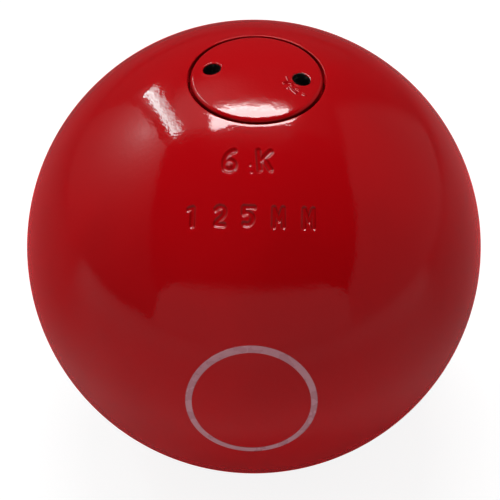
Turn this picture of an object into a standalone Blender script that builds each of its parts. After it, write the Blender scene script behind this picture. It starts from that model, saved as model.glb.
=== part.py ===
"""Shot put: a hollow cast-iron ball with a screw plug that closes its filled chamber.

Metres, +Z up. The origin is the centre of the ball and +Z is the axis of the plug, which is on
top. Every piece is turned about that axis. The plug and its washer hang from two empties: the
washer rises without turning, and the plug rises and turns, as its right-hand thread leads it.
"""

import math

import bmesh
import bpy

MM = 0.001

# The ball and its chamber
BALL_DIAMETER = 125 * MM
CHAMBER_DIAMETER = 80 * MM

# The thread, shared by the plug and the ball
THREAD_DIAMETER = 33 * MM
THREAD_PITCH = 2 * MM
THREAD_LENGTH = 9 * MM
RIDGE_HEIGHT = 1.1 * MM
RIDGE_TOP = 0.3 * MM
RIDGE_FLANK = 0.63 * MM
THREAD_CLEARANCE = 0.3 * MM
RUN_OUT_LENGTH = 1 * MM
RELIEF_LENGTH = 0.8 * MM

# The plug's head, which stands a little proud of the ball
HEAD_DIAMETER = 33.7 * MM
HEAD_LENGTH = 3.6 * MM
HEAD_PROUD = 0.1 * MM
HEAD_ROUNDING = 1.2 * MM
SEAM_GAP = 0.75 * MM
MOUTH_CHAMFER = 0.25 * MM

# The two blind holes that a pin spanner turns the plug by
SPANNER_HOLE_DIAMETER = 4.6 * MM
SPANNER_HOLE_DEPTH = 6 * MM
SPANNER_HOLE_SPACING = 23 * MM
SPANNER_HOLE_TURN = math.radians(-9)

# The washer under the plug, whose rim passes through the ball's thread
WASHER_WIDTH = 3.8 * MM
WASHER_THICKNESS = 1.5 * MM
WASHER_MARGIN = 0.2 * MM
WASHER_CLEARANCE = 0.4 * MM

# The spigot that the washer hangs on, and the neck that the spigot dips into
SPIGOT_DIAMETER = THREAD_DIAMETER - 2 * (RIDGE_HEIGHT + WASHER_MARGIN + WASHER_WIDTH + WASHER_CLEARANCE)
SPIGOT_REACH = 1 * MM
SPIGOT_CHAMFER = 0.4 * MM
NECK_CLEARANCE = 1 * MM
NECK_DIAMETER = SPIGOT_DIAMETER + 2 * NECK_CLEARANCE

# What is packed into the neck and the chamber
TRIM_DISC_THICKNESS = 1.2 * MM
WAD_THICKNESS = 3.5 * MM
LEAD_DEPTH = 16.8 * MM
SEAT_GAP = 0.3 * MM
PACKING_CLEARANCE = 0.3 * MM

# Fineness of the turned surfaces
COLUMNS = 60
ARC_STEP = math.radians(6)
HOLE_SIDES = 20
ROUNDING_STEPS = 4
SHARP_ANGLE = math.radians(30)
SAME_POINT = 0.001 * MM

# Colours as red, green and blue, with how rough and how metallic the surface is
RED_PAINT = ((0.55, 0.008, 0.015), 0.15, 0.0)
BARE_LEAD = ((0.20, 0.21, 0.23), 0.55, 1.0)
CAST_RESIN = ((0.55, 0.42, 0.20), 0.40, 0.0)
GREY_FELT = ((0.22, 0.21, 0.20), 0.95, 0.0)
BRIGHT_STEEL = ((0.55, 0.55, 0.56), 0.30, 1.0)
RED_FIBRE = ((0.30, 0.06, 0.04), 0.70, 0.0)

# Radii and heights that follow from the sizes above
ball_radius = BALL_DIAMETER / 2
chamber_radius = CHAMBER_DIAMETER / 2
neck_radius = NECK_DIAMETER / 2
head_radius = HEAD_DIAMETER / 2
spigot_radius = SPIGOT_DIAMETER / 2
mouth_radius = head_radius + SEAM_GAP
mouth_edge_radius = mouth_radius + MOUTH_CHAMFER
core_radius = THREAD_DIAMETER / 2 - RIDGE_HEIGHT
bore_radius = THREAD_DIAMETER / 2 + THREAD_CLEARANCE
washer_bore_radius = spigot_radius + WASHER_CLEARANCE
washer_radius = core_radius - WASHER_MARGIN
packing_radius = neck_radius - PACKING_CLEARANCE
fill_radius = chamber_radius - PACKING_CLEARANCE

mouth_edge_z = math.sqrt(ball_radius**2 - mouth_edge_radius**2)
shoulder_z = mouth_edge_z - HEAD_LENGTH
head_bottom_z = shoulder_z + SEAT_GAP
plug_seat_z = head_bottom_z - THREAD_LENGTH
washer_top_z = plug_seat_z - SEAT_GAP
washer_bottom_z = washer_top_z - WASHER_THICKNESS
ledge_z = washer_bottom_z - SEAT_GAP
spigot_bottom_z = ledge_z - SPIGOT_REACH
disc_top_z = spigot_bottom_z - SEAT_GAP
disc_bottom_z = disc_top_z - TRIM_DISC_THICKNESS
wad_top_z = disc_bottom_z - SEAT_GAP
wad_bottom_z = wad_top_z - WAD_THICKNESS
fill_top_z = wad_bottom_z - SEAT_GAP
lead_top_z = LEAD_DEPTH - chamber_radius
fill_bottom_z = lead_top_z + SEAT_GAP


def sphere_height(sphere_radius, radius):
    """How high a sphere about the origin stands at this distance from the axis."""
    return math.sqrt(sphere_radius**2 - radius**2)


def arc(sphere_radius, start, end):
    """Profile points on a sphere about the origin, between two angles from +Z."""
    steps = max(1, math.ceil(abs(end - start) / ARC_STEP))
    angles = [start + (end - start) * i / steps for i in range(steps + 1)]
    return [(sphere_radius * math.sin(a), sphere_radius * math.cos(a)) for a in angles]


def thread_rows(low, high, surface):
    """Profile points that climb one pitch a turn, so that turning them makes a right-hand thread.

    Each point is a function of the share of a turn. surface(ridge, fade) gives the radius, where
    ridge is 1 on the ridge and 0 in the groove of the plug's thread, and fade falls to 0 at both
    ends, over the run-out's length. Points past an end collapse onto that end.
    """
    corners = [
        (0.0, 1.0),
        (RIDGE_TOP, 1.0),
        (RIDGE_TOP + RIDGE_FLANK, 0.0),
        (THREAD_PITCH - RIDGE_FLANK, 0.0),
    ]

    def climbing(start, ridge):
        def point(share):
            z = min(max(start + THREAD_PITCH * share, low), high)
            fade = min(1.0, (z - low) / RUN_OUT_LENGTH, (high - z) / RUN_OUT_LENGTH)
            return surface(ridge, fade), z

        return point

    first = math.floor(low / THREAD_PITCH) - 1
    last = math.ceil(high / THREAD_PITCH)
    return [
        climbing(turn * THREAD_PITCH + rise, ridge)
        for turn in range(first, last + 1)
        for rise, ridge in corners
    ]


def plug_thread_radius(ridge, fade):
    return core_radius + RIDGE_HEIGHT * ridge * fade


def ball_thread_radius(ridge, fade):
    return bore_radius - RIDGE_HEIGHT * (1 - ridge) * fade


def turned(name, profile, finish, closed=False):
    """A solid of revolution about Z. A profile point is (radius, height) or climbs with the turn."""
    mesh = bmesh.new()
    rows = []
    for point in profile:
        row = []
        for column in range(COLUMNS + 1):
            share = column / COLUMNS
            radius, z = point(share) if callable(point) else point
            angle = math.tau * share
            row.append(mesh.verts.new((radius * math.cos(angle), radius * math.sin(angle), z)))
        rows.append(row)
    pairs = list(zip(rows, rows[1:]))
    if closed:
        pairs.append((rows[-1], rows[0]))
    for lower, upper in pairs:
        for column in range(COLUMNS):
            mesh.faces.new(
                (lower[column], lower[column + 1], upper[column + 1], upper[column])
            )
    bmesh.ops.remove_doubles(mesh, verts=mesh.verts, dist=SAME_POINT)
    bmesh.ops.recalc_face_normals(mesh, faces=mesh.faces)
    return object_from(name, mesh, finish)


def object_from(name, mesh, finish):
    data = bpy.data.meshes.new(name)
    mesh.to_mesh(data)
    mesh.free()
    data.shade_smooth()
    data.set_sharp_from_angle(angle=SHARP_ANGLE)
    piece = bpy.data.objects.new(name, data)
    bpy.context.scene.collection.objects.link(piece)
    if finish:
        data.materials.append(finish)
    return piece


def material(name, look):
    colour, roughness, metallic = look
    made = bpy.data.materials.new(name)
    made.use_nodes = True
    shader = made.node_tree.nodes["Principled BSDF"]
    shader.inputs["Base Color"].default_value = (*colour, 1.0)
    shader.inputs["Roughness"].default_value = roughness
    shader.inputs["Metallic"].default_value = metallic
    made.diffuse_color = (*colour, 1.0)
    return made


def axis_empty(name, parent=None):
    empty = bpy.data.objects.new(name, None)
    empty.empty_display_type = "ARROWS"
    empty.empty_display_size = ball_radius
    empty.parent = parent
    bpy.context.scene.collection.objects.link(empty)
    return empty


def make_shell(paint):
    """The casting: the ball outside, then the mouth, the thread, the neck and the chamber."""
    mouth_angle = math.asin(mouth_edge_radius / ball_radius)
    neck_angle = math.asin(neck_radius / chamber_radius)
    thread_bottom = plug_seat_z + RELIEF_LENGTH
    equator = math.pi / 2
    profile = arc(ball_radius, math.pi, equator)
    profile += arc(ball_radius, equator, mouth_angle)
    profile.append((mouth_radius, mouth_edge_z - MOUTH_CHAMFER))
    profile.append((mouth_radius, shoulder_z))
    profile += reversed(thread_rows(thread_bottom, shoulder_z, ball_thread_radius))
    profile.append((bore_radius, ledge_z))
    profile.append((neck_radius, ledge_z))
    profile += arc(chamber_radius, neck_angle, math.pi)
    return turned("shell", profile, paint)


def make_spanner_cutter(side):
    """A pin that cuts one blind hole, from its flat floor to clear above the plug."""
    x = side * SPANNER_HOLE_SPACING / 2
    floor_z = sphere_height(ball_radius + HEAD_PROUD, SPANNER_HOLE_SPACING / 2) - SPANNER_HOLE_DEPTH
    height = 2 * SPANNER_HOLE_DEPTH
    mesh = bmesh.new()
    bmesh.ops.create_cone(
        mesh,
        cap_ends=True,
        segments=HOLE_SIDES,
        radius1=SPANNER_HOLE_DIAMETER / 2,
        radius2=SPANNER_HOLE_DIAMETER / 2,
        depth=height,
    )
    cutter = object_from("spanner_hole_cutter_" + ("right" if side > 0 else "left"), mesh, None)
    cutter.location = (
        x * math.cos(SPANNER_HOLE_TURN),
        x * math.sin(SPANNER_HOLE_TURN),
        floor_z + height / 2,
    )
    cutter.hide_render = True
    cutter.display_type = "WIRE"
    return cutter


def make_screw_plug(paint):
    """A domed head, the thread, and the spigot that carries the washer."""
    dome_radius = ball_radius + HEAD_PROUD
    # The rounding's centre lies inside both the dome and the head's side by the same distance.
    rounding_x = head_radius - HEAD_ROUNDING
    rounding_z = sphere_height(dome_radius - HEAD_ROUNDING, rounding_x)
    dome_edge = math.asin(rounding_x / (dome_radius - HEAD_ROUNDING))
    profile = arc(dome_radius, 0.0, dome_edge)
    for i in range(1, ROUNDING_STEPS + 1):
        angle = dome_edge + (math.pi / 2 - dome_edge) * i / ROUNDING_STEPS
        profile.append(
            (
                rounding_x + HEAD_ROUNDING * math.sin(angle),
                rounding_z + HEAD_ROUNDING * math.cos(angle),
            )
        )
    profile.append((head_radius, head_bottom_z))
    profile += reversed(thread_rows(plug_seat_z, head_bottom_z, plug_thread_radius))
    profile.append((spigot_radius, plug_seat_z))
    profile.append((spigot_radius, spigot_bottom_z + SPIGOT_CHAMFER))
    profile.append((spigot_radius - SPIGOT_CHAMFER, spigot_bottom_z))
    profile.append((0.0, spigot_bottom_z))
    plug = turned("screw_plug", profile, paint)
    for side in (-1, 1):
        cutter = make_spanner_cutter(side)
        cut = plug.modifiers.new(cutter.name, "BOOLEAN")
        cut.operation = "DIFFERENCE"
        cut.solver = "EXACT"
        cut.object = cutter
    return plug


def make_disc(name, radius, top_z, bottom_z, look):
    return turned(name, [(0.0, top_z), (radius, top_z), (radius, bottom_z), (0.0, bottom_z)], look)


def make_plug_washer(fibre):
    corners = [
        (washer_bore_radius, washer_top_z),
        (washer_radius, washer_top_z),
        (washer_radius, washer_bottom_z),
        (washer_bore_radius, washer_bottom_z),
    ]
    return turned("plug_washer", corners, fibre, closed=True)


def make_lead_ballast(lead):
    """The pool that set in the bottom of the chamber, under a flat surface."""
    rim_angle = math.acos(lead_top_z / fill_radius)
    profile = [(0.0, lead_top_z)] + arc(fill_radius, rim_angle, math.pi)
    return turned("lead_ballast", profile, lead)


def make_resin_fill(resin):
    """What fills the rest of the chamber, up to the wad: in the neck, or short of it in a large chamber."""
    rim_angle = math.acos(fill_bottom_z / fill_radius)
    neck_angle = math.asin(packing_radius / fill_radius)
    level_angle = math.acos(min(1.0, fill_top_z / fill_radius))
    profile = [(0.0, fill_top_z), (packing_radius, fill_top_z)]
    profile += arc(fill_radius, max(neck_angle, level_angle), rim_angle)
    profile.append((0.0, fill_bottom_z))
    return turned("resin_fill", profile, resin)


def main():
    for old in list(bpy.data.objects):
        bpy.data.objects.remove(old)
    paint = material("red_paint", RED_PAINT)
    make_shell(paint)
    make_lead_ballast(material("bare_lead", BARE_LEAD))
    make_resin_fill(material("cast_resin", CAST_RESIN))
    make_disc("neck_wad", packing_radius, wad_top_z, wad_bottom_z, material("grey_felt", GREY_FELT))
    steel = material("bright_steel", BRIGHT_STEEL)
    make_disc("trim_disc", packing_radius, disc_top_z, disc_bottom_z, steel)
    rise = axis_empty("plug_rise_axis")
    turn = axis_empty("plug_turn_axis", rise)
    make_plug_washer(material("red_fibre", RED_FIBRE)).parent = rise
    make_screw_plug(paint).parent = turn


main()
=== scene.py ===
"""Looks of the shot put: its painted skin and punched marks, the finishes, and the photo studio.

Metres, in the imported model's frame: the origin is the ball's centre, +Z is the plug's axis, and
the marks and the camera are on the -Y side. Every piece is a skin of rings about one axis, stored
as a grid of points: the rows follow the profile and the columns go round.
"""

import math

import bmesh
import bpy
import numpy as np
from mathutils import Matrix, Vector
from mathutils.geometry import delaunay_2d_cdt

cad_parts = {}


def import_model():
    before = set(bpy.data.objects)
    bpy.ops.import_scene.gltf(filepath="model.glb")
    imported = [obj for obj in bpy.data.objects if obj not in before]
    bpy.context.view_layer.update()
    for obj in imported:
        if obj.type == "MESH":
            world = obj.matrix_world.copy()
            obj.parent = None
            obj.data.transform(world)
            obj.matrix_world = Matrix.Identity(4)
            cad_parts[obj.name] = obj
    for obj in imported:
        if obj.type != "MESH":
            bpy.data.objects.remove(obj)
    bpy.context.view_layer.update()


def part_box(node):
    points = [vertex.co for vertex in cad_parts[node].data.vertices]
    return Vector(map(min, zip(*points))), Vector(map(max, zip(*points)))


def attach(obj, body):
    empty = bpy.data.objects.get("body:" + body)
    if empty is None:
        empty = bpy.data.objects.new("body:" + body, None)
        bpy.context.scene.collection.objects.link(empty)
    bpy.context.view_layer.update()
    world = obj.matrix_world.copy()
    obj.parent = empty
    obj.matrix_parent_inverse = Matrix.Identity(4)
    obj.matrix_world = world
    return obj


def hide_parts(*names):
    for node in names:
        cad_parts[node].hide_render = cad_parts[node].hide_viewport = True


MM = 0.001

# The ball's surface, as in the model
BALL_RADIUS = 62.5 * MM

# The camera of the photograph
CAMERA_DISTANCE = 500 * MM
CAMERA_ELEVATION = math.radians(44.6)
CAMERA_ROLL = math.radians(0.9)
CAMERA_LENS_MM = 129.7
AIM_LEFT = 1.07 * MM
AIM_DOWN = 0.95 * MM

# Sizes inside the ball that no node's box gives, as in the model
THREAD_RADIUS = 16.5 * MM
THREAD_PITCH = 2 * MM
RIDGE_HEIGHT = 1.1 * MM
RIDGE_TOP = 0.3 * MM
RIDGE_FLANK = 0.63 * MM
THREAD_CLEARANCE = 0.3 * MM
RUN_OUT_LENGTH = 1 * MM
RELIEF_LENGTH = 0.8 * MM
HEAD_LENGTH = 3.6 * MM
HEAD_ROUNDING = 1.2 * MM
SEAM_GAP = 0.75 * MM
MOUTH_ROUNDING = 0.25 * MM
SEAT_GAP = 0.3 * MM
PACKING_CLEARANCE = 0.3 * MM
NECK_CLEARANCE = 1 * MM
WASHER_CLEARANCE = 0.4 * MM
SPIGOT_ROUNDING = 0.4 * MM

# The two blind holes of the pin spanner
HOLE_RADIUS = 2.3 * MM
HOLE_DEPTH = 6 * MM
HOLE_OFFSET = 11.5 * MM
HOLE_TURN = math.radians(-9)
HOLE_ROUNDING = 0.3 * MM
HOLE_SIDES = 96
EDGE_STEPS = 6
PAINT_BEAD = 0.05 * MM

# The plug's face is a net of points this far apart, closer together where the paint is chipped
FACE_SPACING = 0.3 * MM
CHIPPED_SPACING = 0.08 * MM
CHIPPED_AREA = ((6.2 * MM, -8.4 * MM), (13.6 * MM, 0.4 * MM))
PLUG_COLUMNS = 240

# Ridges of lifted paint near the right hole: height, half width and points in millimetres
PAINT_FLAKES = (
    (0.42, 0.26, ((6.93, -4.07), (7.86, -3.63), (9.07, -3.96))),
    (0.44, 0.26, ((8.57, -5.21), (9.30, -6.35), (9.95, -6.99))),
    (0.30, 0.21, ((8.80, -4.60), (9.05, -4.90))),
    (0.28, 0.20, ((7.90, -5.80), (8.00, -6.05))),
    (0.24, 0.20, ((7.51, -1.80), (7.89, -2.80))),
    (0.26, 0.20, ((9.95, -5.77), (10.71, -6.15))),
    (0.30, 0.21, ((11.71, -7.14), (12.30, -7.50))),
)

# The rows of punched marks: tilt of each row from +Z towards -Y, and how far a mark reaches
UPPER_ROW_TILT = math.radians(25.6)
LOWER_ROW_TILT = math.radians(38.7)
MARK_REACH = math.radians(6)
PUNCH_DEPTH = 0.42 * MM
PUNCH_LIP = 0.03 * MM
DENT_DEPTH = 0.12 * MM

# How much tighter the bend at a stroke's shoulder is than the one at the foot of its wall
SHOULDER_SHARE = 0.75

# The shell's rings and columns are close together where the marks are, and wider apart beyond
FINE_STEP = math.radians(0.10)
FINE_COLUMN_STEP = math.radians(0.16)
COARSE_STEP = math.radians(2)
ARC_STEP = math.radians(3)
STEP_GROWTH = 1.12
SHARP_ANGLE = math.radians(38)

# The printed ring: where its centre lies and its half sizes along the surface
RING_TILT = math.radians(85.85)
RING_HALF_WIDTH = 16.88 * MM
RING_HALF_HEIGHT = 19.14 * MM
RING_STROKE_SIDE = 1.69 * MM
RING_STROKE_TOP = 2.0 * MM
RING_FILM = 0.04 * MM

# Linear colours
PAINT_RED = (0.415, 0.0010, 0.0033, 1)
PAINT_RED_DEEP = (0.372, 0.0007, 0.0028, 1)
PAINT_SHEEN = (1.0, 0.01, 0.02, 1)
# Painted shade and dirt deep in the seam round the plug
SEAM_SHADE_AND_DIRT = (0.12, 0.001, 0.001, 1)
# Painted shade on the punched marks' upper and side walls
MARK_SHADE = (0.10, 0.001, 0.001, 1)
RING_PINK = (0.455, 0.185, 0.222, 1)
RING_PALE = (0.50, 0.222, 0.258, 1)

# The studio, from the ball's centre, in metres
WALL_DISTANCE = 1.0
WALL_FOOT = -0.06
PANEL_HEIGHT = 1.2
ROOF_HEIGHT = 1.22
FLOOR_SIZE = 12.0
STRIP_SIZE = (0.046, 0.74)
STRIP_WAY = (0.04, -0.75, 0.66)
COOL_WHITE = (0.72, 1.0, 1.0)


# Points and skins

def smooth(low, high, value):
    """0 below low and 1 above high, with a soft step between."""
    share = np.clip((value - low) / (high - low), 0, 1)
    return share * share * (3 - 2 * share)


def graded(start, end, fine_start, fine_end, fine_step):
    """Values from start to end, evenly close between the fine ends and wider apart beyond them."""

    def spread(length):
        steps = []
        step = fine_step
        while sum(steps) < length:
            step = min(step * STEP_GROWTH, COARSE_STEP)
            steps.append(step)
        places = np.cumsum(steps)
        return places * length / places[-1]

    count = round((fine_end - fine_start) / fine_step)
    below = fine_start - spread(fine_start - start)[::-1]
    above = fine_end + spread(end - fine_end)
    return np.concatenate([below, np.linspace(fine_start, fine_end, count + 1), above])


def add_object(name, data):
    made = bpy.data.objects.new(name, data)
    bpy.context.scene.collection.objects.link(made)
    return made


def skin(name, rows, parts, axis_points=(None, None), tops=()):
    """A mesh of rings. rows has the shape (row, column, 3) with its last column on its first.

    parts gives the material of each band between rows. axis_points closes the first and the last
    ring at one point. tops adds (points, triangles, material) of any other net whose rim fits.
    """
    count, columns = rows.shape[:2]
    points = [rows.reshape(-1, 3)]
    index = np.arange(count * columns).reshape(count, columns)
    faces = np.stack(
        [index[:-1, :-1], index[:-1, 1:], index[1:, 1:], index[1:, :-1]], axis=-1
    ).reshape(-1, 4).tolist()
    slots = np.repeat(parts, columns - 1).tolist()
    used = count * columns
    for end, point in zip((0, count - 1), axis_points):
        if point is None:
            continue
        points.append(np.array([point]))
        ring = index[end]
        for a, b in zip(ring[:-1], ring[1:]):
            faces.append([used, b, a] if end == 0 else [used, a, b])
            slots.append(parts[0 if end == 0 else -1])
        used += 1
    for net, triangles, slot in tops:
        points.append(net)
        faces += (np.asarray(triangles) + used).tolist()
        slots += [slot] * len(triangles)
        used += len(net)
    data = bpy.data.meshes.new(name)
    data.from_pydata(np.concatenate(points).tolist(), [], faces)
    data.polygons.foreach_set("material_index", np.array(slots, np.int32))
    mesh = bmesh.new()
    mesh.from_mesh(data)
    bmesh.ops.remove_doubles(mesh, verts=mesh.verts, dist=0.0008 * MM)
    loose = [v for v in mesh.verts if not v.link_faces]
    bmesh.ops.delete(mesh, geom=loose, context="VERTS")
    bmesh.ops.recalc_face_normals(mesh, faces=mesh.faces)
    mesh.to_mesh(data)
    mesh.free()
    data.shade_smooth()
    return add_object(name, data)


def ring_points(radius, z, angles):
    """One ring: radius and z are numbers or one value for each angle from +X."""
    return np.stack([radius * np.cos(angles), radius * np.sin(angles), z + 0 * angles], axis=-1)


def rounding(centre_radius, centre_z, size, start, end, steps):
    """Profile points round a centre, between two angles from +Z towards the outside."""
    return [
        (centre_radius + size * math.sin(a), centre_z + size * math.cos(a))
        for a in np.linspace(start, end, steps + 1)
    ]


def arc(radius, start, end):
    return rounding(0, 0, radius, start, end, math.ceil((end - start) / ARC_STEP))


def straight(start, end, step):
    """Points after start, up to and with end, no further apart than step."""
    count = max(1, math.ceil(math.dist(start, end) / step))
    return [
        (start[0] + (end[0] - start[0]) * i / count, start[1] + (end[1] - start[1]) * i / count)
        for i in range(1, count + 1)
    ]


def thread_rings(low, high, surface, angles):
    """Rings that climb one pitch a turn and collapse onto the thread's two ends, from the top.

    surface(ridge, fade) gives the radius: ridge is 1 on the plug's ridge and 0 in its groove.
    """
    corners = [(0.0, 1.0), (RIDGE_TOP, 1.0), (RIDGE_TOP + RIDGE_FLANK, 0.0)]
    corners.append((THREAD_PITCH - RIDGE_FLANK, 0.0))
    share = angles / math.tau
    rings = []
    for turn in range(math.floor(low / THREAD_PITCH) - 2, math.ceil(high / THREAD_PITCH) + 2):
        for rise, ridge in corners:
            z = np.clip(turn * THREAD_PITCH + rise + THREAD_PITCH * share, low, high)
            fade = np.minimum(1, np.minimum(z - low, high - z) / RUN_OUT_LENGTH)
            rings.append(ring_points(surface(ridge, fade), z, angles))
    return rings[::-1]


# The punched marks

def curve(*points):
    """A smooth line through the points, as short straight parts."""
    points = np.array(points, float)
    padded = np.vstack([2 * points[0] - points[1], points, 2 * points[-1] - points[-2]])
    path = []
    for a, b, c, d in zip(padded, padded[1:], padded[2:], padded[3:]):
        square, cube = 2 * a - 5 * b + 4 * c - d, 3 * b - a - 3 * c + d
        for t in np.linspace(0, 1, 7)[:-1]:
            path.append(0.5 * (2 * b + (c - a) * t + square * t**2 + cube * t**3))
    path.append(points[-1])
    return np.array(path)


def line(*points):
    return np.array(points, float)


def loop(x, y, half_width, half_height):
    turn = np.linspace(0, math.tau, 33)
    return np.stack([x + half_width * np.cos(turn), y + half_height * np.sin(turn)], axis=-1)


# The marks' strokes, in millimetres to the right of and above the mark's middle
SIX = [
    loop(0.12, -1.3, 1.25, 1.2),
    curve((-1.13, -1.3), (-1.02, 0.2), (-0.38, 1.5), (0.45, 2.22), (1.2, 2.5)),
]
LETTER_K = [
    line((-1.50, 2.5), (-1.08, -2.45)),
    line((-0.75, -0.1), (1.50, 2.4)),
    line((-0.15, 0.45), (1.55, -2.3)),
]
ONE = [line((0.14, 2.1), (0.05, -2.2)), line((0.14, 2.1), (-0.75, 1.8))]
TWO = [
    curve(
        (-1.1, 1.7), (-0.65, 2.22), (0.05, 2.3), (0.75, 1.95), (1.0, 1.15),
        (0.72, 0.3), (0.0, -0.5), (-0.78, -1.2), (-1.15, -1.95),
    ),
    line((-1.15, -1.95), (0.78, -2.12)),
]
FIVE = [
    line((1.35, 2.25), (-1.05, 2.3), (-1.1, 0.75)),
    curve(
        (-1.1, 0.75), (-0.35, 0.98), (0.45, 0.72), (0.98, 0.05),
        (1.05, -0.75), (0.6, -1.6), (-0.1, -1.95), (-0.95, -1.8),
    ),
]
LETTER_M = [line((-1.2, -2.35), (-1.15, 2.25), (0.05, -0.8), (1.1, 2.25), (1.22, -2.3))]

# Each mark: its row's tilt, its angle along the row in degrees, and in millimetres the softness
# of its bends and the half widths of its flat and of its whole stroke
PUNCHED_MARKS = (
    (UPPER_ROW_TILT, -5.9, 0.36, 0.34, 0.90, SIX),
    (UPPER_ROW_TILT, 2.03, 0.33, 0.34, 0.90, LETTER_K),
    (LOWER_ROW_TILT, -14.1, 0.27, 0.32, 0.86, ONE),
    (LOWER_ROW_TILT, -7.6, 0.24, 0.32, 0.86, TWO),
    (LOWER_ROW_TILT, -1.37, 0.24, 0.32, 0.86, FIVE),
    (LOWER_ROW_TILT, 5.45, 0.22, 0.27, 0.78, LETTER_M),
    (LOWER_ROW_TILT, 12.3, 0.25, 0.27, 0.78, LETTER_M),
)

# Stray dents beside the marks: a point on the ball and the radius of the dent, in millimetres
DENTS = (((-1.21, -28.05, 55.84), 0.75), ((-0.81, -29.85, 54.9), 0.55))


def distance_to_line(places, corners):
    """Distance of each place to the nearest of a line's straight parts."""
    nearest = np.full(len(places), 1e9)
    for start, end in zip(corners, corners[1:]):
        along = end - start
        share = np.clip((places - start) @ along / max(along @ along, 1e-12), 0, 1)
        gap = places - start - share[:, None] * along
        nearest = np.minimum(nearest, np.hypot(gap[:, 0], gap[:, 1]))
    return nearest


def mark_frame(tilt, angle):
    """A mark's outward, rightward and upward directions on the ball."""
    row = np.array([0, -math.sin(tilt), math.cos(tilt)])
    across = np.array([1.0, 0, 0])
    out = math.cos(angle) * row + math.sin(angle) * across
    right = -math.sin(angle) * row + math.cos(angle) * across
    return out, right, np.cross(out, right)


def bend(value, place, half):
    """0 below the place and a straight rise above it, with a soft turn half as long each way."""
    near = np.clip(value - place + half, 0, 2 * half)
    return near**2 / (4 * half) + np.maximum(value - place - half, 0)


def punched(points, ball_radius):
    """How far each point of the ball's surface moves outwards at the marks and the dents."""
    rise = np.zeros(len(points))
    for tilt, angle, soft, flat, edge, strokes in PUNCHED_MARKS:
        out, right, up = mark_frame(tilt, math.radians(angle))
        depth = points @ out
        near = np.flatnonzero(depth > ball_radius * math.cos(MARK_REACH))
        scale = ball_radius / depth[near] / MM
        places = np.stack([points[near] @ right * scale, points[near] @ up * scale], axis=-1)
        gap = np.min([distance_to_line(places, stroke) for stroke in strokes], axis=0)
        wall = bend(gap, flat, soft) - bend(gap, edge, SHOULDER_SHARE * soft)
        wall /= edge - flat
        cut = PUNCH_DEPTH * (wall - 1)
        lip = PUNCH_LIP * np.exp(-(((gap - edge - 0.12) / 0.16) ** 2))
        rise[near] += cut + lip
    for place, radius in DENTS:
        centre = np.array(place) * MM
        gap = np.linalg.norm(points - centre * ball_radius / np.linalg.norm(centre), axis=1)
        rise -= DENT_DEPTH * (1 - smooth(0, radius * MM, gap))
    return rise


# The pieces

def make_shell(sizes):
    """The ball: painted outside, then the mouth, the thread, the neck and the chamber."""
    centre_radius = sizes.mouth_radius + MOUTH_ROUNDING
    centre_z = math.sqrt((sizes.ball_radius - MOUTH_ROUNDING) ** 2 - centre_radius**2)
    edge = math.atan2(centre_radius, centre_z)
    tilts = graded(edge, math.pi, math.radians(22), math.radians(45), FINE_STEP)[-2::-1]
    columns = graded(-math.pi, math.pi, math.radians(-27), math.radians(27), FINE_COLUMN_STEP)
    angles = columns - math.pi / 2
    ball = sizes.ball_radius
    outside = np.stack([ring_points(ball * math.sin(t), ball * math.cos(t), angles) for t in tilts])
    flat = outside.reshape(-1, 3)
    outside = (flat * (1 + punched(flat, ball) / ball)[:, None]).reshape(outside.shape)

    wall = rounding(centre_radius, centre_z, MOUTH_ROUNDING, edge, -math.pi / 2, 7)[1:]
    wall += straight(wall[-1], (sizes.mouth_radius, sizes.shoulder_z), 0.6 * MM)
    painted = len(outside) + len(wall)
    bore = THREAD_RADIUS + THREAD_CLEARANCE
    thread = thread_rings(
        sizes.plug_seat_z + RELIEF_LENGTH,
        sizes.shoulder_z,
        lambda ridge, fade: bore - RIDGE_HEIGHT * (1 - ridge) * fade,
        angles,
    )
    below = [(bore, sizes.ledge_z)]
    below += straight(below[-1], (sizes.neck_radius, sizes.ledge_z), 1 * MM)
    neck = math.asin(sizes.neck_radius / sizes.chamber_radius)
    below += arc(sizes.chamber_radius, neck, math.pi - 0.03)
    rings = [ring_points(r, z, angles) for r, z in wall]
    rings += thread
    machined = painted + len(thread) + 5
    rings += [ring_points(r, z, angles) for r, z in below]
    rows = np.concatenate([outside, np.stack(rings)])
    order = np.arange(len(rows) - 1)
    parts = np.digitize(order, [painted, machined])
    ends = ((0, 0, -ball), (0, 0, -sizes.chamber_radius))
    return sharpened(skin("painted_shell", rows, parts, ends))


def sharpened(piece):
    piece.data.set_sharp_from_angle(angle=SHARP_ANGLE)
    return piece


def hole_centres():
    right = HOLE_OFFSET * np.array([math.cos(HOLE_TURN), math.sin(HOLE_TURN)])
    return [-right, right]


def hole_circle():
    """The places of a hole's columns round its centre, one unit away from it."""
    turn = np.linspace(0, math.tau, HOLE_SIDES, endpoint=False)
    return np.stack([np.cos(turn), np.sin(turn)], axis=-1)


def dome_height(places, dome_radius):
    return np.sqrt(dome_radius**2 - places[:, 0] ** 2 - places[:, 1] ** 2)


def paint_rise(places):
    """Height of the paint's bead round the holes and of its lifted flakes."""
    rise = np.zeros(len(places))
    for centre in hole_centres():
        gap = np.hypot(*(places - centre).T) - HOLE_RADIUS
        rise += PAINT_BEAD * np.exp(-(((gap - 0.5 * MM) / (0.22 * MM)) ** 2))
    for height, width, corners in PAINT_FLAKES:
        gap = distance_to_line(places / MM, np.array(corners))
        rise += height * MM * np.exp(-((gap / width) ** 2))
    return rise


def lattice(low, high, spacing):
    """Points of a net of equal triangles that covers a rectangle."""
    row_step = spacing * math.sqrt(3) / 2
    rows = np.arange(low[1], high[1], row_step)
    places = []
    for i, y in enumerate(rows):
        x = np.arange(low[0] + (i % 2) * spacing / 2, high[0], spacing)
        places.append(np.stack([x, np.full_like(x, y)], axis=-1))
    return np.concatenate(places)


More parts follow.
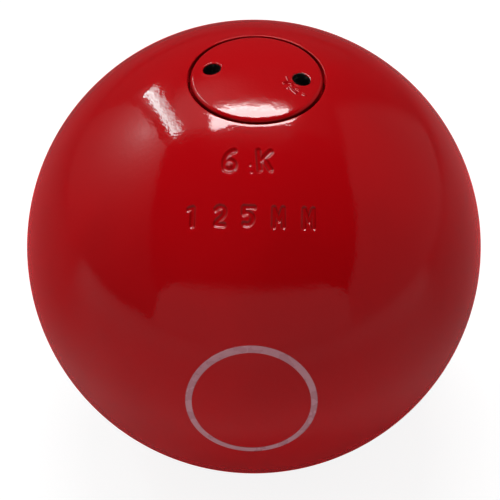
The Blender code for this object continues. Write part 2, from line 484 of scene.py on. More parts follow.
def face_places(rim_radius, rim):
    """Places of the plug's domed face: the rim, the rings round both holes, and the net between."""
    low, high = np.array(CHIPPED_AREA)
    coarse = lattice((-rim_radius, -rim_radius), (rim_radius, rim_radius), FACE_SPACING)
    margin = FACE_SPACING * 0.6
    outside = np.any((coarse < low - margin) | (coarse > high + margin), axis=1)
    inner = lattice(low, high, CHIPPED_SPACING)
    net = np.concatenate([coarse[outside], inner])
    spacing = np.where(np.arange(len(net)) < outside.sum(), FACE_SPACING, CHIPPED_SPACING)
    keep = np.hypot(*net.T) < rim_radius - 0.7 * spacing
    circle = hole_circle()
    edge = HOLE_RADIUS + HOLE_ROUNDING
    rings = []
    for centre in hole_centres():
        gap = np.hypot(*(net - centre).T)
        keep &= gap > edge + 0.55 * MM + 0.6 * spacing
        rings += [centre + circle * (edge + out * MM) for out in (0.0, 0.14, 0.28, 0.42, 0.55)]
    return np.concatenate([rim, *rings, net[keep]]), edge


def make_face(rim_radius, rim, dome_radius):
    """The domed face between the rim and the two holes, as points and triangles."""
    places, edge = face_places(rim_radius, rim)
    made = delaunay_2d_cdt([Vector(p / MM) for p in places], [], [], 0, 1e-7)
    flat = np.array([tuple(p) for p in made[0]]) * MM
    triangles = np.array(made[2])
    middle = flat[triangles].mean(axis=1)
    keep = np.ones(len(triangles), bool)
    for centre in hole_centres():
        keep &= np.hypot(*(middle - centre).T) > edge * math.cos(math.pi / HOLE_SIDES) - 0.001 * MM
    z = dome_height(flat, dome_radius) + paint_rise(flat)
    on_rim = np.hypot(*flat.T) > rim_radius - 0.01 * MM
    z[on_rim] = math.sqrt(dome_radius**2 - rim_radius**2)
    return np.column_stack([flat, z]), triangles[keep]


def make_hole(centre, dome_radius, floor_z):
    """A blind hole's rounded edge, wall and flat floor: points, triangles, and how many are edge."""
    circle = hole_circle()
    rings = []
    for angle in np.linspace(0, math.pi / 2, EDGE_STEPS + 1):
        places = centre + circle * (HOLE_RADIUS + HOLE_ROUNDING * (1 - math.sin(angle)))
        drop = HOLE_ROUNDING * (1 - math.cos(angle))
        height = dome_height(places, dome_radius) + paint_rise(places) - drop
        rings.append(np.column_stack([places, height]))
    places = centre + circle * HOLE_RADIUS
    top = rings[-1][:, 2]
    for share in np.linspace(0, 1, 9)[1:]:
        rings.append(np.column_stack([places, top + (floor_z + 0.25 * MM - top) * share]))
    for inset, z in ((0.07, 0.07), (0.25, 0.0), (0.9, 0.0), (1.6, 0.0)):
        places = centre + circle * (HOLE_RADIUS - inset * MM)
        rings.append(np.column_stack([places, np.full(HOLE_SIDES, floor_z + z * MM)]))
    points = np.concatenate(rings + [np.array([[*centre, floor_z]])])
    triangles = []
    for row in range(len(rings)):
        for i in range(HOLE_SIDES):
            a, b = row * HOLE_SIDES + i, row * HOLE_SIDES + (i + 1) % HOLE_SIDES
            c, d = a + HOLE_SIDES, b + HOLE_SIDES
            triangles += [(a, b, d), (a, d, c)] if row < len(rings) - 1 else [(a, b, len(points) - 1)]
    return points, triangles, EDGE_STEPS * HOLE_SIDES * 2


def make_plug(sizes):
    """The plug: its domed face with two holes, the painted edge, the thread and the spigot."""
    dome = sizes.dome_radius
    rounding_radius = sizes.head_radius - HEAD_ROUNDING
    rounding_z = math.sqrt((dome - HEAD_ROUNDING) ** 2 - rounding_radius**2)
    edge = math.atan2(rounding_radius, rounding_z)
    rim_radius = dome * math.sin(edge)
    angles = np.linspace(0, math.tau, PLUG_COLUMNS + 1)
    profile = rounding(rounding_radius, rounding_z, HEAD_ROUNDING, edge, math.pi / 2, 8)
    head_bottom = (sizes.head_radius, sizes.head_bottom_z)
    profile += straight(profile[-1], head_bottom, 0.6 * MM)
    core = THREAD_RADIUS - RIDGE_HEIGHT
    thread = thread_rings(
        sizes.plug_seat_z,
        sizes.head_bottom_z,
        lambda ridge, fade: core + RIDGE_HEIGHT * ridge * fade,
        angles,
    )
    spigot = [(core, sizes.plug_seat_z)]
    spigot += straight(spigot[-1], (sizes.spigot_radius, sizes.plug_seat_z), 1 * MM)
    foot_radius = sizes.spigot_radius - SPIGOT_ROUNDING
    foot_z = sizes.spigot_bottom_z + SPIGOT_ROUNDING
    spigot += straight(spigot[-1], (sizes.spigot_radius, foot_z), 0.7 * MM)
    spigot += rounding(foot_radius, foot_z, SPIGOT_ROUNDING, math.pi / 2, math.pi, 5)[1:]
    spigot += straight(spigot[-1], (0.4 * MM, sizes.spigot_bottom_z), 1.5 * MM)
    rings = [ring_points(r, z, angles) for r, z in profile] + thread
    rings += [ring_points(r, z, angles) for r, z in spigot]
    rows = np.stack(rings)
    parts = np.where(np.arange(len(rows) - 1) < len(profile) - 1, 0, 1)
    rim = rows[0][:-1, :2]
    face, triangles = make_face(rim_radius, rim, dome)
    tops = [(face, triangles, 0)]
    floor_z = math.sqrt(dome**2 - HOLE_OFFSET**2) - HOLE_DEPTH
    for centre in hole_centres():
        points, walls, painted = make_hole(centre, dome, floor_z)
        tops.append((points, walls[:painted], 0))
        tops.append((points, walls[painted:], 2))
    ends = (None, (0, 0, sizes.spigot_bottom_z))
    return sharpened(skin("painted_plug", rows, parts, ends, tops))


def make_ring(sizes):
    """The printed ring, a thin film on the ball."""
    out = np.array([0, -math.sin(RING_TILT), math.cos(RING_TILT)])
    right = np.array([1.0, 0, 0])
    up = np.cross(out, right)
    turn = np.linspace(0, math.tau, 241)
    rows = []
    for stroke, lift in ((1, 0.2), (1, 1), (0.85, 1), (0.5, 1), (0.15, 1), (0, 1), (0, 0.2), (1, 0.2)):
        wide = (RING_HALF_WIDTH - stroke * RING_STROKE_SIDE) / sizes.ball_radius
        high = (RING_HALF_HEIGHT - stroke * RING_STROKE_TOP) / sizes.ball_radius
        across, along = wide * np.cos(turn), high * np.sin(turn)
        reach = np.hypot(across, along)
        ways = (across[:, None] * right + along[:, None] * up) / reach[:, None]
        directions = np.cos(reach)[:, None] * out + np.sin(reach)[:, None] * ways
        rows.append(directions * (sizes.ball_radius + lift * RING_FILM))
    return skin("label_ring", np.stack(rows), np.zeros(len(rows) - 1, int))


def lathe(name, profile, columns=180, wobble=None, closed=False):
    """A turned piece. wobble(points) moves points a little, for what isn't quite round or flat."""
    angles = np.linspace(0, math.tau, columns + 1)
    ends = profile[0][1], profile[-1][1]
    profile = profile + profile[:1] if closed else profile[1:-1]
    rows = np.stack([ring_points(r, z, angles) for r, z in profile])
    if wobble:
        rows = wobble(rows.reshape(-1, 3)).reshape(rows.shape)
        rows[:, -1] = rows[:, 0]
        ends = rows[0, :, 2].mean(), rows[-1, :, 2].mean()
    tips = (None, None) if closed else [(0, 0, z) for z in ends]
    return skin(name, rows, np.zeros(len(rows) - 1, int), tips)


def ripple(points, size, seed, count=14, wave=6 * MM):
    """A smooth, repeatable unevenness over the points, within plus and minus size."""
    random = np.random.default_rng(seed)
    total = np.zeros(len(points))
    for _ in range(count):
        way = random.normal(size=3)
        way *= math.tau / (wave * random.uniform(0.6, 1.8)) / np.linalg.norm(way)
        total += np.sin(points @ way + random.uniform(0, math.tau))
    return size * total / math.sqrt(count) / 2


def make_washer(sizes):
    """The flat fibre washer, with its edges worn round."""
    low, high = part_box("plug_washer")
    size = 0.2 * MM
    inner, outer = sizes.washer_bore_radius + size, high.x - size
    profile = rounding(outer, high.z - size, size, 0, math.pi / 2, 4)
    profile += rounding(outer, low.z + size, size, math.pi / 2, math.pi, 4)
    profile += straight(profile[-1], (inner, low.z), 0.8 * MM)
    profile += rounding(inner, low.z + size, size, math.pi, 1.5 * math.pi, 4)
    profile += rounding(inner, high.z - size, size, 1.5 * math.pi, math.tau, 4)
    profile += straight(profile[-1], (outer, high.z), 0.8 * MM)[:-1]

    def pressed(points):
        side = np.sign(points[:, 2] - (low.z + high.z) / 2)
        dent = np.minimum(0, ripple(points, 0.03 * MM, 3)) * side
        return points + np.column_stack([0 * dent, 0 * dent, dent])

    return lathe("fibre_washer", profile, wobble=pressed, closed=True)


def make_trim_disc():
    """A stamped disc: a rolled upper edge, a sharp lower one, and a centre punch's dimple."""
    low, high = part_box("trim_disc")
    radius = high.x
    size = 0.3 * MM
    profile = [(0, low.z), (0.5 * MM, low.z)]
    profile += straight(profile[-1], (radius - 0.05 * MM, low.z), 1.2 * MM)
    profile += [(radius, low.z + 0.05 * MM)]
    profile += rounding(radius - size, high.z - size, size, math.pi / 2, 0, 6)
    profile += straight(profile[-1], (1.1 * MM, high.z), 1.2 * MM)
    profile += [(0.8 * MM, high.z - 0.05 * MM), (0.35 * MM, high.z - 0.35 * MM), (0, high.z - 0.5 * MM)]
    return lathe("trim_weight", profile)


def make_wad():
    """The felt wad: pressed flat by the disc, with a soft rounded rim that bulges a little."""
    low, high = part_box("neck_wad")
    radius = high.x
    size = 0.9 * MM
    profile = [(0, low.z), (0.5 * MM, low.z)]
    profile += straight(profile[-1], (radius - size, low.z), 0.7 * MM)
    profile += rounding(radius - size, low.z + size, size, math.pi, math.pi / 2, 6)[1:]
    profile += straight(profile[-1], (radius, high.z - size), 0.4 * MM)
    profile += rounding(radius - size, high.z - size, size, math.pi / 2, 0, 6)[1:]
    profile += straight(profile[-1], (0.5 * MM, high.z), 0.7 * MM)
    profile += [(0, high.z)]
    middle = (low.z + high.z) / 2

    def felted(points):
        inward = np.maximum(0, ripple(points, 0.09 * MM, 11, 24, 2.2 * MM))
        inward += np.maximum(0, ripple(points, 0.05 * MM, 12, 24, 0.9 * MM))
        flat = (np.hypot(points[:, 0], points[:, 1]) / radius) ** 4
        away = (points - [0, 0, middle]) * np.column_stack([flat, flat, 0 * flat + 3])
        away /= np.maximum(np.linalg.norm(away, axis=1), 1e-9)[:, None]
        return points - away * inward[:, None]

    return lathe("felt_wad", profile, columns=300, wobble=felted)


def make_resin(sizes):
    """The cast filling: it follows the chamber, and creeps a little up the neck's wall."""
    low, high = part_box("resin_fill")
    radius = sizes.fill_radius
    neck = sizes.neck_radius - PACKING_CLEARANCE
    profile = [(0, high.z - 0.6 * MM), (0.5 * MM, high.z - 0.6 * MM)]
    profile += straight(profile[-1], (neck - 3 * MM, high.z - 0.6 * MM), 1 * MM)
    for share in np.linspace(0, 1, 7)[1:]:
        profile.append((neck - 3 * MM * (1 - share), high.z - 0.6 * MM * (1 - share**2)))
    profile += arc(radius, math.asin(neck / radius), math.acos(low.z / radius))
    profile += straight(profile[-1], (0.5 * MM, low.z), 2 * MM)
    profile += [(0, low.z)]

    def cast(points):
        on_chamber = smooth(-0.5 * MM, 0.5 * MM, np.linalg.norm(points, axis=1) - radius + 1 * MM)
        inward = np.maximum(0, ripple(points, 0.12 * MM, 21, 20, 5 * MM)) * on_chamber
        return points * (1 - inward / radius)[:, None]

    return lathe("cast_resin", profile, wobble=cast)


def make_lead(sizes):
    """The lead: poured, so its top is uneven, dips in the middle and is drawn up at its rim."""
    low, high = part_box("lead_ballast")
    radius = sizes.fill_radius
    rim = math.acos(high.z / radius)
    top_radius = radius * math.sin(rim)
    profile = [(0, high.z), (0.6 * MM, high.z)]
    profile += straight(profile[-1], (top_radius, high.z), 0.8 * MM)
    profile += arc(radius, rim, math.pi - 0.02)[1:]
    profile += [(0, low.z)]

    def poured(points):
        reach = np.hypot(points[:, 0], points[:, 1]) / top_radius
        on_top = (points[:, 2] > high.z - 1e-7) * (reach < 0.999)
        sink = 0.55 * MM * (1 - reach**6) + np.abs(ripple(points, 0.5 * MM, 31, 16, 9 * MM))
        sink += np.abs(ripple(points, 0.18 * MM, 32, 20, 2.5 * MM))
        moved = points.copy()
        moved[:, 2] -= on_top * np.clip(sink, 0, 1.6 * MM)
        return moved

    return lathe("poured_lead", profile, wobble=poured)


class Sizes:
    """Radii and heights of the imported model, and those that follow from them."""

    def __init__(self):
        plug_low, plug_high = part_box("screw_plug")
        washer_low, washer_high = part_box("plug_washer")
        self.ball_radius = -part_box("shell")[0].z
        self.dome_radius = plug_high.z
        self.head_radius = plug_high.x
        self.mouth_radius = self.head_radius + SEAM_GAP
        edge_radius = self.mouth_radius + MOUTH_ROUNDING
        self.shoulder_z = math.sqrt(self.ball_radius**2 - edge_radius**2) - HEAD_LENGTH
        self.head_bottom_z = self.shoulder_z + SEAT_GAP
        self.ledge_z = washer_low.z - SEAT_GAP
        self.plug_seat_z = washer_high.z + SEAT_GAP
        self.spigot_bottom_z = plug_low.z
        self.neck_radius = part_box("trim_disc")[1].x + PACKING_CLEARANCE
        self.spigot_radius = self.neck_radius - NECK_CLEARANCE
        self.washer_bore_radius = self.spigot_radius + WASHER_CLEARANCE
        self.fill_radius = -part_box("lead_ballast")[0].z
        self.chamber_radius = self.fill_radius + PACKING_CLEARANCE


# Finishes

class Nodes:
    """A node tree. A number, a colour or another node's output goes into any input."""

    def __init__(self, owner):
        owner.use_nodes = True
        self.tree = owner.node_tree

    def add(self, kind, inputs=None, **settings):
        node = self.tree.nodes.new("ShaderNode" + kind)
        for name, value in settings.items():
            setattr(node, name, value)
        for name, value in (inputs or {}).items():
            self.put(node.inputs[name], value)
        return node

    def put(self, socket, value):
        if isinstance(value, bpy.types.NodeSocket):
            self.tree.links.new(value, socket)
        else:
            socket.default_value = value

    def range(self, value, low, high, to_low=0.0, to_high=1.0):
        inputs = {"Value": value, "From Min": low, "From Max": high}
        inputs.update({"To Min": to_low, "To Max": to_high})
        return self.add("MapRange", inputs, interpolation_type="SMOOTHSTEP").outputs[0]

    def math(self, operation, a, b=0.0):
        return self.add("Math", {0: a, 1: b}, operation=operation).outputs[0]

    def times(self, product, *factors):
        for factor in factors:
            product = self.math("MULTIPLY", product, factor)
        return product

    def plus(self, a, b):
        return self.math("ADD", a, b)

    def minus(self, a, b):
        return self.math("SUBTRACT", a, b)

    def split(self, vector):
        return self.add("SeparateXYZ", {0: vector}).outputs

    def blend(self, share, a, b):
        """A number between two numbers."""
        return self.add("Mix", {0: share, 2: a, 3: b}).outputs[0]

    def rays(self):
        """1 for rays that see only white, and 1 for the gloss's rays."""
        path = self.add("LightPath").outputs
        clear = self.math("MAXIMUM", path["Is Camera Ray"], path["Is Transmission Ray"])
        return clear, path["Is Glossy Ray"]


class Look(Nodes):
    """A material's nodes, which paint by the place on the piece."""

    def __init__(self, name):
        self.material = bpy.data.materials.new(name)
        super().__init__(self.material)
        self.shader = self.tree.nodes["Principled BSDF"]
        self.place = self.add("TexCoord").outputs["Object"]

    def set(self, **inputs):
        for name, value in inputs.items():
            self.put(self.shader.inputs[name.replace("_", " ")], value)
        return self.material

    def noise(self, scale, detail=3.0, roughness=0.5, place=None):
        inputs = {"Vector": place or self.place, "Scale": scale}
        inputs.update({"Detail": detail, "Roughness": roughness})
        return self.add("TexNoise", inputs).outputs["Fac"]

    def cells(self, scale, feature="F1"):
        inputs = {"Vector": self.place, "Scale": scale}
        return self.add("TexVoronoi", inputs, feature=feature).outputs["Distance"]

    def mix(self, share, a, b):
        """A colour between two colours."""
        inputs = {0: share, 6: a, 7: b}
        return self.add("Mix", inputs, data_type="RGBA").outputs[2]

    def stretched(self, x, y, z):
        return self.add("Mapping", {"Vector": self.place, "Scale": (x, y, z)}).outputs[0]

    def bump(self, height, distance, normal=None):
        inputs = {"Height": height, "Distance": distance, "Strength": 1.0}
        if normal:
            inputs["Normal"] = normal
        return self.add("Bump", inputs).outputs[0]

    def length(self, x, y):
        return self.math("SQRT", self.plus(self.times(x, x), self.times(y, y)))

    def away_from(self, vector, spot):
        inputs = {0: vector, 1: spot}
        return self.add("VectorMath", inputs, operation="DISTANCE").outputs["Value"]

    def reach(self):
        """Distance from the Z axis, height along it, and distance from the ball's centre."""
        x, y, z = self.split(self.place)
        distance = self.length(x, y)
        return distance, z, self.length(distance, z)


def paint_bump(look):
    """Orange peel: broad soft ripples, finer ones over them, and a few specks under the paint."""
    normal = None
    for scale, height in ((330, 0.030), (900, 0.017), (1700, 0.012)):
        normal = look.bump(look.noise(scale, 1.0), height * MM, normal)
    specks = look.range(look.cells(150), 0.0, 0.10, 1.0, 0.0)
    chosen = look.range(look.noise(60, 0.0), 0.60, 0.66)
    return look.bump(look.times(specks, chosen), 0.02 * MM, normal)


def painted_mark_shade(look):
    """Painted shade: 1 on the marks' upper and side walls, which face down or aside and away from the
    light, less on their floors, 0 elsewhere.
    """
    distance, height, level = look.reach()
    facing = look.add("NewGeometry").outputs["Normal"]
    lift = look.minus(look.split(facing)[2], look.math("DIVIDE", height, level))
    wall = look.range(level, BALL_RADIUS - 0.15 * MM, BALL_RADIUS - 0.05 * MM, 1.0, 0.0)
    side = look.range(lift, 0.05, 0.20, 1.0, 0.0)
    floor = look.range(level, BALL_RADIUS - 0.40 * MM, BALL_RADIUS - 0.28 * MM, 0.2, 1.0)
    away = look.range(distance, 19.5 * MM, 20 * MM)
    return look.times(wall, side, floor, away)


def painted_seam_shade_and_dirt(look):
    """1 deep in the seam round the plug, well below the ball's surface: painted shade in the gap, with
    dirt.
    """
    distance, _, level = look.reach()
    level = look.plus(level, look.times(look.noise(700, 3.0), 0.25 * MM))
    deep = look.range(level, BALL_RADIUS - 0.45 * MM, BALL_RADIUS - 0.05 * MM, 1.0, 0.0)
    return look.times(deep, look.range(distance, 18.5 * MM, 19 * MM, 1.0, 0.0))


def paint_colour(look, seam_dirt_shade):
    drift = look.range(look.noise(25, 2.0), 0.35, 0.65)
    # Deep in the seam the red turns dark: painted shade and dirt
    return look.mix(seam_dirt_shade, look.mix(drift, PAINT_RED, PAINT_RED_DEEP), SEAM_SHADE_AND_DIRT)


def gloss_paint(look, **inputs):
    """A clear coat over a matt colour, with a sheen that keeps the ball's limb bright."""
    normal = paint_bump(look)
    return look.set(
        Specular_IOR_Level=0.03,
        Normal=normal,
        Coat_Roughness=0.05,
        Coat_Normal=normal,
        Sheen_Weight=0.8,
        Sheen_Roughness=0.3,
        Sheen_Tint=PAINT_SHEEN,
        **inputs,
    )


def red_paint():
    look = Look("gloss_red_paint")
    # Painted shade and dirt deep in the seam
    seam_dirt_shade = painted_seam_shade_and_dirt(look)
    # Painted shade on the marks' walls darkens the paint's colour
    dull = look.times(painted_mark_shade(look), 0.45)
    return gloss_paint(
        look,
        Base_Color=look.mix(dull, paint_colour(look, seam_dirt_shade), MARK_SHADE),
        Roughness=look.range(look.noise(120, 2.0), 0.3, 0.7, 0.18, 0.22),
        Coat_Weight=look.range(seam_dirt_shade, 0.0, 1.0, 1.0, 0.1),
    )


def plug_paint():
    """The same paint, worn through to bright iron at the right hole's edge."""
    look = Look("chipped_red_paint")
    centre = hole_centres()[1]
    x, y, _ = look.split(look.place)
    gap = look.length(look.minus(x, float(centre[0])), look.minus(y, float(centre[1])))
    ragged = look.times(look.minus(look.noise(900, 4.0), 0.5), 1.1 * MM)
    gap = look.plus(look.minus(gap, HOLE_RADIUS), ragged)
    edge = look.range(gap, 0.08 * MM, 0.16 * MM, 1.0, 0.0)
    edge = look.times(edge, look.range(look.noise(420, 2.0), 0.50, 0.58))
    # Painted shade and dirt deep in the seam, where the gloss is also taken away
    seam_dirt_shade = painted_seam_shade_and_dirt(look)
    bare = look.math("MAXIMUM", edge, look.times(seam_dirt_shade, 0.9))
    return gloss_paint(
        look,
        Base_Color=look.mix(edge, paint_colour(look, seam_dirt_shade), (0.33, 0.31, 0.28, 1)),
        Metallic=edge,
        Roughness=look.range(edge, 0.0, 1.0, 0.20, 0.30),
        Coat_Weight=look.range(bare, 0.0, 1.0, 1.0, 0.0),
    )


def turned_iron(name, painted_above):
    """Machined iron: fine turning lines, dull patches, and a mist of paint where it was sprayed."""
    look = Look(name)
    lines = look.noise(9000, 2.0, 0.6, look.stretched(0.02, 0.02, 1.0))
    dull = look.range(look.noise(160, 4.0), 0.35, 0.7)
    colour = look.mix(dull, (0.40, 0.39, 0.38, 1), (0.22, 0.205, 0.19, 1))
    ragged = look.times(look.noise(500, 4.0), 2.4 * MM)
    level = look.plus(look.split(look.place)[2], ragged)
    mist = look.range(level, painted_above + 0.6 * MM, painted_above + 1.6 * MM)
    return look.set(
        Base_Color=look.mix(mist, colour, PAINT_RED_DEEP),
        Metallic=look.range(mist, 0.0, 1.0, 1.0, 0.0),
        Roughness=look.range(dull, 0.0, 1.0, 0.28, 0.48),
        Normal=look.bump(lines, 0.006 * MM),
    )


def dark_bore():
    """The drilled holes: nearly black iron, brighter where the spanner's pins rub."""
    look = Look("dark_bore")
    rub = look.range(look.noise(520, 5.0, 0.65), 0.50, 0.66)
    return look.set(
        Base_Color=look.mix(rub, (0.012, 0.012, 0.012, 1), (0.17, 0.19, 0.165, 1)),
        Metallic=look.range(rub, 0.0, 1.0, 0.2, 0.6),
        Roughness=look.range(rub, 0.0, 1.0, 0.6, 0.38),
        Normal=look.bump(look.noise(1500, 3.0), 0.02 * MM),
    )


def cast_iron():
    """The chamber's wall, as it came out of the sand."""
    look = Look("as_cast_iron")
    grain = look.noise(900, 6.0, 0.65)
    pits = look.range(look.cells(450), 0.0, 0.35)
    rust = look.range(look.noise(70, 5.0), 0.5, 0.72)
    dark = look.mix(pits, (0.03, 0.028, 0.027, 1), (0.085, 0.08, 0.078, 1))
    normal = look.bump(grain, 0.12 * MM)
    return look.set(
        Base_Color=look.mix(rust, dark, (0.16, 0.06, 0.025, 1)),
        Metallic=look.range(rust, 0.0, 1.0, 0.6, 0.0),
        Roughness=look.range(grain, 0.3, 0.7, 0.6, 0.85),
        Normal=look.bump(pits, 0.08 * MM, normal),
    )


def ring_print():
    """Thin pale ink over red paint: the red shows through where the ink is thin."""
    look = Look("ring_print")
    thin = look.range(look.noise(260, 3.0, 0.5), 0.35, 0.68)
    return look.set(
        Base_Color=look.mix(thin, RING_PINK, RING_PALE),
        Roughness=look.range(thin, 0.0, 1.0, 0.26, 0.36),
        Normal=look.bump(look.noise(1600, 2.0), 0.004 * MM),
    )


def red_fibre():
    look = Look("vulcanised_fibre")
    layers = look.noise(60, 3.0, 0.5, look.stretched(1, 1, 60))
    fleck = look.range(look.noise(1300, 4.0, 0.7), 0.5, 0.75)
    return look.set(
        Base_Color=look.mix(fleck, (0.20, 0.035, 0.022, 1), (0.33, 0.085, 0.05, 1)),
        Roughness=look.range(layers, 0.3, 0.7, 0.55, 0.75),
        Normal=look.bump(look.noise(2200, 3.0), 0.02 * MM),
    )


def stamped_steel():
    look = Look("stamped_steel")
    lines = look.noise(70, 3.0, 0.6, look.stretched(1, 60, 1))
    stain = look.range(look.noise(240, 4.0), 0.5, 0.8)
    return look.set(
        Base_Color=look.mix(stain, (0.56, 0.56, 0.57, 1), (0.38, 0.34, 0.29, 1)),
        Metallic=1.0,
        Roughness=look.range(lines, 0.3, 0.7, 0.22, 0.38),
        Normal=look.bump(lines, 0.008 * MM),
    )


def wool_felt():
    """Matted wool: tangled fibres at two scales, flecked with paler and darker ones."""
    look = Look("wool_felt")
    tangle = look.noise(1500, 6.0, 0.75)
    threads = look.cells(2200, "DISTANCE_TO_EDGE")
    fleck = look.range(look.noise(900, 5.0, 0.7), 0.4, 0.65)
    pale = look.mix(fleck, (0.13, 0.125, 0.115, 1), (0.30, 0.29, 0.27, 1))
    normal = look.bump(tangle, 0.25 * MM)
    return look.set(
        Base_Color=look.mix(look.range(threads, 0.0, 0.12, 0.35, 0.0), pale, (0.42, 0.41, 0.38, 1)),
        Roughness=0.95,
        Normal=look.bump(threads, 0.10 * MM, normal),
        Sheen_Weight=0.4,
        Sheen_Roughness=0.6,
    )


def amber_resin():
    look = Look("cast_amber_resin")
    cloud = look.noise(60, 4.0, 0.6)
    bubbles = look.range(look.cells(700), 0.0, 0.16, 1.0, 0.0)
    speck = look.times(bubbles, look.range(look.noise(180, 1.0), 0.55, 0.62))
    colour = look.mix(look.range(cloud, 0.35, 0.65), (0.40, 0.25, 0.08, 1), (0.56, 0.40, 0.17, 1))
    return look.set(
        Base_Color=look.mix(speck, colour, (0.72, 0.60, 0.36, 1)),
        Roughness=look.range(cloud, 0.3, 0.7, 0.14, 0.28),
        Normal=look.bump(speck, 0.05 * MM),
        Subsurface_Weight=0.15,
        Subsurface_Scale=2 * MM,
        Coat_Weight=0.4,
        Coat_Roughness=0.08,
    )


def dull_lead():
    look = Look("dull_lead")
    oxide = look.range(look.noise(90, 4.0), 0.4, 0.7)
    return look.set(
        Base_Color=look.mix(oxide, (0.27, 0.28, 0.31, 1), (0.13, 0.13, 0.135, 1)),
        Metallic=look.range(oxide, 0.0, 1.0, 1.0, 0.5),
        Roughness=look.range(oxide, 0.0, 1.0, 0.38, 0.68),
        Normal=look.bump(look.noise(260, 5.0, 0.6), 0.15 * MM),
    )


# The studio

def studio_material(name):
    """A material without a shader yet, and the socket for one."""
    look = Look(name)
    look.tree.nodes.remove(look.shader)
    return look, look.tree.nodes["Material Output"].inputs["Surface"]


def add_sheet(name, corners, material):
    """A flat sheet of the studio."""
    data = bpy.data.meshes.new(name)
    data.from_pydata(corners, [], [list(range(len(corners)))])
    data.materials.append(material)
    sheet = add_object(name, data)
    return sheet


def add_card(name, corners, make_strength):
    """A card that only the gloss sees. make_strength(look, place) gives its light by the place."""
    look, surface = studio_material(name + "_glow")
    strength = make_strength(look, look.split(look.place))
    look.put(surface, look.add("Emission", {"Strength": strength}).outputs[0])
    card = add_sheet(name, corners, look.material)
    card.visible_camera = False
    card.visible_diffuse = False
    card.visible_shadow = False


def left_wall_strength(look, _):
    """The tent's left wall is lit by the strip that hangs near it."""
    away = look.away_from(look.place, (-1, 0.58, 0.88))
    fall = look.math("POWER", math.e, look.times(away, -4.2))
    return look.plus(look.times(fall, 2.4), 0.03)


def right_wall_strength(look, place):
    return look.range(place["Y"], 0.9, 1.3, 0.13, 0.03)


def front_wall_strength(look, place):
    return look.range(place["Z"], 0.36, 0.53, 0.21, 0.0)


def ceiling_strength(look, place):
    """The tent's roof: bright behind the top panel and near the strip, dark in front."""
    x, y, _ = place
    away = look.away_from(look.place, (-0.68, 0.72, ROOF_HEIGHT))
    fall = look.range(away, 0.10, 0.85, 0.50, 0.06)
    roof = look.times(fall, look.range(y, 0.24, 0.42))
    edge = look.math("POWER", look.range(y, 0.50, 0.76, 1.0, 0.0), 2.0)
    start = look.range(y, 0.53, 0.55)
    left = look.range(x, -0.46, -0.38)
    right = look.range(x, 0.26, 0.36, 11.0, 0.0)
    return look.plus(roof, look.times(edge, start, left, right))


def painted_table_shade(look):
    """How pale the table is to the ball's gloss, with painted shade: a painted shadow under the ball, a
    little to its right, and darker behind it and to the left.
    """
    x, y, _ = look.split(look.place)
    # A painted shadow of the ball, centred a little to the right of its foot, paler towards the front
    away = look.away_from(look.place, (0.01, 0, 0))
    near = look.range(away, 0.045, 0.115, 0.12, 0.80)
    near = look.plus(near, look.range(away, 0.2, 0.5, 0.0, 0.4))
    aside = look.math("MINIMUM", look.times(look.math("ABSOLUTE", x), 0.4), 0.07)
    beyond = look.range(look.plus(y, aside), -0.03, 0.07)
    # Painted shade: darker behind the ball, and darker on the left than on the right
    to_right = look.times(look.math("MAXIMUM", x, 0.0), 0.3)
    back = look.range(look.minus(y, to_right), 0.12, 0.40)
    side = look.blend(back, look.range(x, -0.2, 0.2, 0.062, 0.10), 0.04)
    return look.blend(beyond, look.times(near, 0.22), side)


def make_floor(z):
    """White to the camera, with the ball's shadow; to the ball's own gloss a dull pale table with
    painted shade.
    """
    look, surface = studio_material("pale_floor")
    clear, glossy = look.rays()
    tone = look.mix(glossy, (0.92, 0.92, 0.92, 1), painted_table_shade(look))
    tone = look.mix(clear, tone, (0.20, 0.20, 0.20, 1))
    cloth = look.add("BsdfDiffuse", {"Color": tone})
    white = look.add("Emission", {"Strength": look.times(clear, 0.86)})
    both = look.add("AddShader", {0: cloth.outputs[0], 1: white.outputs[0]})
    look.put(surface, both.outputs[0])
    half = FLOOR_SIZE / 2
    corners = [(-half, -half, z), (half, -half, z), (half, half, z), (-half, half, z)]
    add_sheet("floor", corners, look.material)


def make_world():
    """White to the camera, a dim room with a dark front in the gloss, and an even fill light."""
    world = bpy.data.worlds.new("studio")
    bpy.context.scene.world = world
    sky = Nodes(world)
    x, y, _ = sky.split(sky.add("TexCoord").outputs["Generated"])
    clear, glossy = sky.rays()
    room = sky.range(y, 0.0, 0.45, 0.0, 0.042)
    fill = sky.range(x, -1.0, 0.2, 0.68, 0.42)
    unseen = sky.blend(glossy, fill, room)
    background = sky.tree.nodes["Background"].inputs
    sky.put(background["Color"], (1, 1, 1, 1))
    sky.put(background["Strength"], sky.blend(clear, unseen, 1.0))


def set_in_place(thing, place, right, up, back):
    turn = Matrix((right, up, back)).transposed().to_4x4()
    thing.matrix_world = Matrix.Translation(place) @ turn


def add_panel(name, place, size, long_way, radiance, colour=(1, 1, 1)):
    """A soft box at a place, facing the ball. long_way is the direction of its second size."""
    data = bpy.data.lights.new(name, "AREA")
    data.shape = "RECTANGLE"
    data.size, data.size_y = size
    data.energy = radiance * math.pi * size[0] * size[1]
    data.color = colour
    back = Vector(place).normalized()
    side = Vector(long_way).cross(back).normalized()
    panel = add_object(name, data)
    set_in_place(panel, place, side, back.cross(side), back)
    panel.visible_camera = False


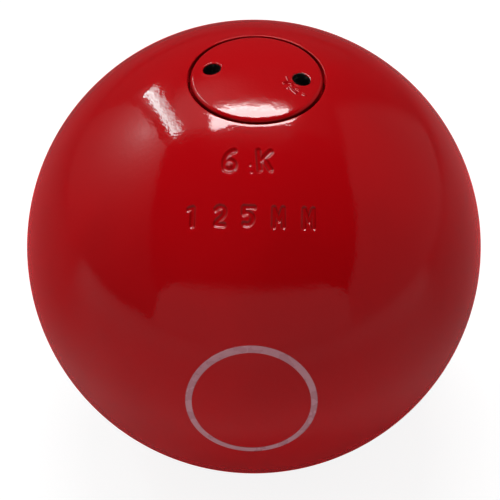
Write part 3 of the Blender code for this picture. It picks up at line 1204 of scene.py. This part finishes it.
def make_studio(floor_z):
    make_floor(floor_z)
    make_world()
    wall, foot = WALL_DISTANCE, WALL_FOOT
    left = [(-1.42, foot), (-0.80, 0.38), (-0.48, 0.70), (-0.14, 0.95), (0.10, 1.13), (0.33, 1.27)]
    left += [(0.44, 1.12), (0.60, 1.04), (0.78, 0.87), (0.98, 0.67), (1.12, 0.45), (1.12, foot)]
    right = [(-1.40, foot), (0.05, 1.15), (1.23, 1.48), (2.6, 1.5), (2.6, foot)]
    front = [(-1.2, foot), (-1.2, 0.06), (-0.9, 0.40), (-0.5, 0.54), (0.5, 0.54), (0.9, 0.40)]
    front += [(1.2, 0.06), (1.2, foot)]
    roof = [(-0.95, 0.2), (0.75, 0.2), (0.75, 1.6), (-0.95, 1.6)]
    add_card("left_wall", [(-wall, y, z) for y, z in left], left_wall_strength)
    add_card("right_wall", [(wall, y, z) for y, z in right], right_wall_strength)
    add_card("front_wall", [(x, -wall, z) for x, z in front], front_wall_strength)
    add_card("ceiling", [(x, y, ROOF_HEIGHT) for x, y in roof], ceiling_strength)
    add_panel("top_panel", (-0.05, 0.405, PANEL_HEIGHT), (0.73, 0.28), (0, 1, 0), 15)
    for name, place, radiance in (
        ("left_strip", (-0.6635, 0.593, 0.716), 13),
        ("left_strip_side", (-0.6265, 0.611, 0.734), 6),
    ):
        add_panel(name, place, STRIP_SIZE, STRIP_WAY, radiance, COOL_WHITE)


def make_camera():
    away = Vector((0, -math.cos(CAMERA_ELEVATION), math.sin(CAMERA_ELEVATION)))
    turn = away.to_track_quat("Z", "Y").to_matrix() @ Matrix.Rotation(CAMERA_ROLL, 3, "Z")
    place = away * CAMERA_DISTANCE
    aim = turn @ Vector((-AIM_LEFT, -AIM_DOWN, 0))
    back = (place - aim).normalized()
    right = back.cross(turn.col[0].cross(back)).normalized()
    data = bpy.data.cameras.new("camera")
    data.lens = CAMERA_LENS_MM
    camera = add_object("camera", data)
    set_in_place(camera, place, right, back.cross(right), back)
    bpy.context.scene.camera = camera


# Everything together

def dress(piece, body, slot, node, *materials):
    """Gives a piece its finishes and lets it stand for the model's node."""
    for material in materials:
        piece.data.materials.append(material)
    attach(piece, body)
    if node:
        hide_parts(node)
    return piece


def main():
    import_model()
    sizes = Sizes()
    shell_iron = turned_iron("turned_shell_iron", sizes.shoulder_z)
    plug_iron = turned_iron("turned_plug_iron", sizes.head_bottom_z)
    dress(make_shell(sizes), "ball", "red_paint", "shell", red_paint(), shell_iron, cast_iron())
    plug_looks = plug_paint(), plug_iron, dark_bore()
    dress(make_plug(sizes), "plug", "red_paint", "screw_plug", *plug_looks)
    dress(make_ring(sizes), "ball", "red_paint", None, ring_print())
    dress(make_washer(sizes), "washer", "fibre", "plug_washer", red_fibre())
    dress(make_trim_disc(), "ball", "steel", "trim_disc", stamped_steel())
    wad = dress(make_wad(), "ball", "felt", "neck_wad", wool_felt())
    dress(make_resin(sizes), "ball", "resin", "resin_fill", amber_resin())
    dress(make_lead(sizes), "ball", "lead", "lead_ballast", dull_lead())
    make_studio(-sizes.ball_radius)
    make_camera()
    bpy.context.scene.view_settings.view_transform = "Standard"


main()
